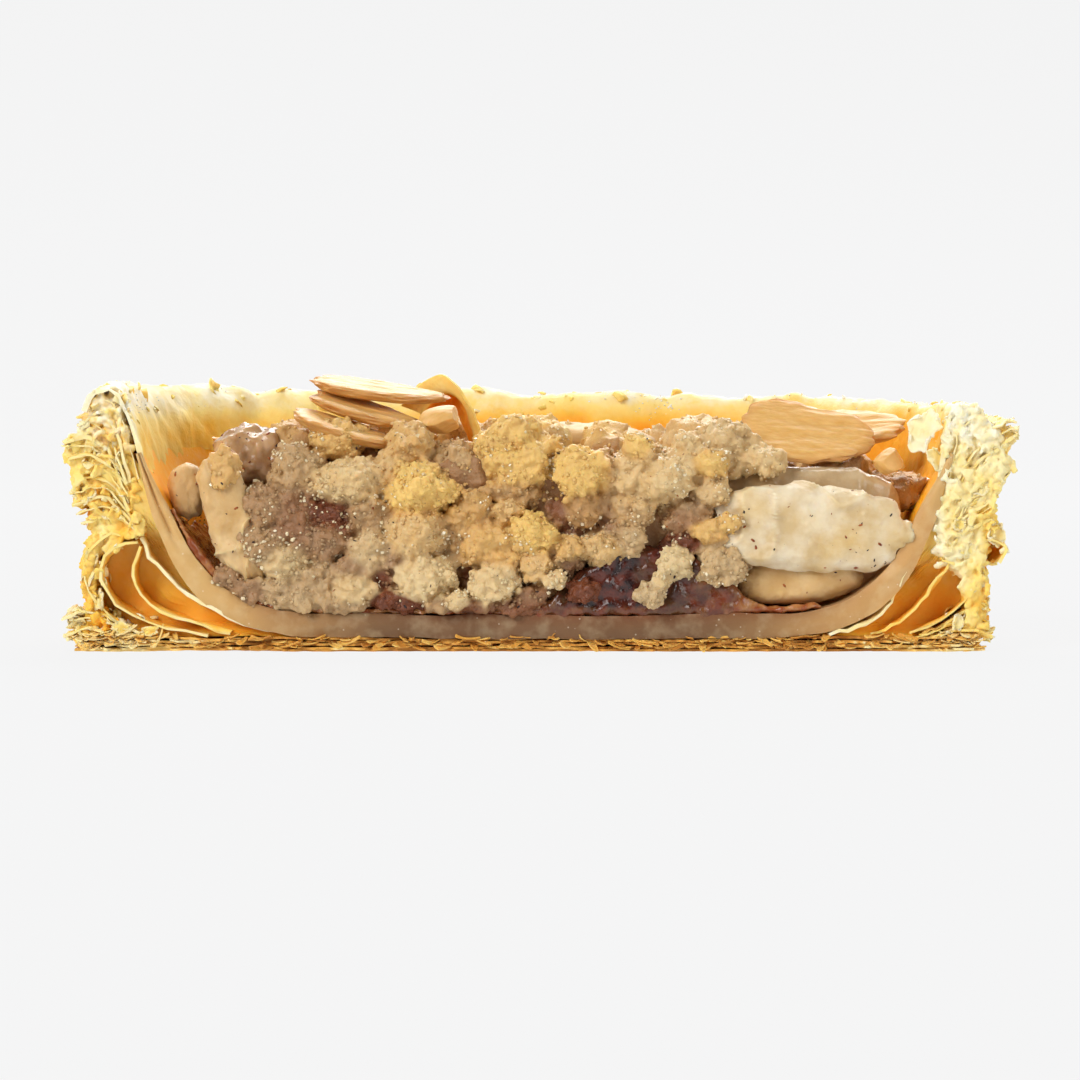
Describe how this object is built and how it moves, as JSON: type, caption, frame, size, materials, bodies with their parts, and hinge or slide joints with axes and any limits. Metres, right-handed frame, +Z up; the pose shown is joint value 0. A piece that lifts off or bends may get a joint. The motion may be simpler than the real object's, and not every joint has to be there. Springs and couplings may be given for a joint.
{
  "type": "halved apple tart",
  "caption": "Half of a square puff-pastry tart on its flat base, its cut showing flaky walls, dark jam, apple slices and crumble, with sliced almonds on top",
  "frame": {"origin": "under the middle of the bounding box, on the surface that the tart rests on", "axes": "+X along the cut, from the side with the higher wall to the side with the large apple slices; +Y from the cut face to the back wall; +Z up"},
  "size_m": [0.108, 0.0542, 0.0307],
  "materials": {
    "puff_pastry": "baked golden puff pastry, matte with a slight butter sheen",
    "dark_jam": "dark red-brown jam, wet and glossy",
    "butter_crumble": "baked butter crumble, matte and grainy",
    "baked_apple": "baked apple flesh, pale and moist",
    "spiced_apple": "apple browned by spice and juice, moist",
    "toasted_almond": "toasted sliced almond, satin"
  },
  "bodies": {
    "root": {"almond_chip_left": "toasted_almond", "almond_chip_right": "toasted_almond", "almond_flake_back_left": "toasted_almond", "almond_flake_back_middle": "toasted_almond", "almond_flake_back_right": "toasted_almond", "almond_flake_lower_left": "toasted_almond", "almond_flake_middle_left": "toasted_almond", "almond_flake_right": "toasted_almond", "almond_flake_right_behind": "toasted_almond", "almond_flake_upper_left": "toasted_almond", "apple_chunk_left_wall": "baked_apple", "apple_chunk_spiced": "spiced_apple", "apple_slice_front_right": "baked_apple", "apple_slice_left": "baked_apple", "apple_slice_lower_right": "baked_apple", "apple_slice_top_left": "baked_apple", "apple_slice_top_middle": "baked_apple", "apple_slice_top_right": "baked_apple", "apple_slice_upper_right": "baked_apple", "crumble_filling": "butter_crumble", "jam_layer": "dark_jam", "pastry_curl": "puff_pastry", "pastry_shell": "puff_pastry"}
  },
  "joints": []
}
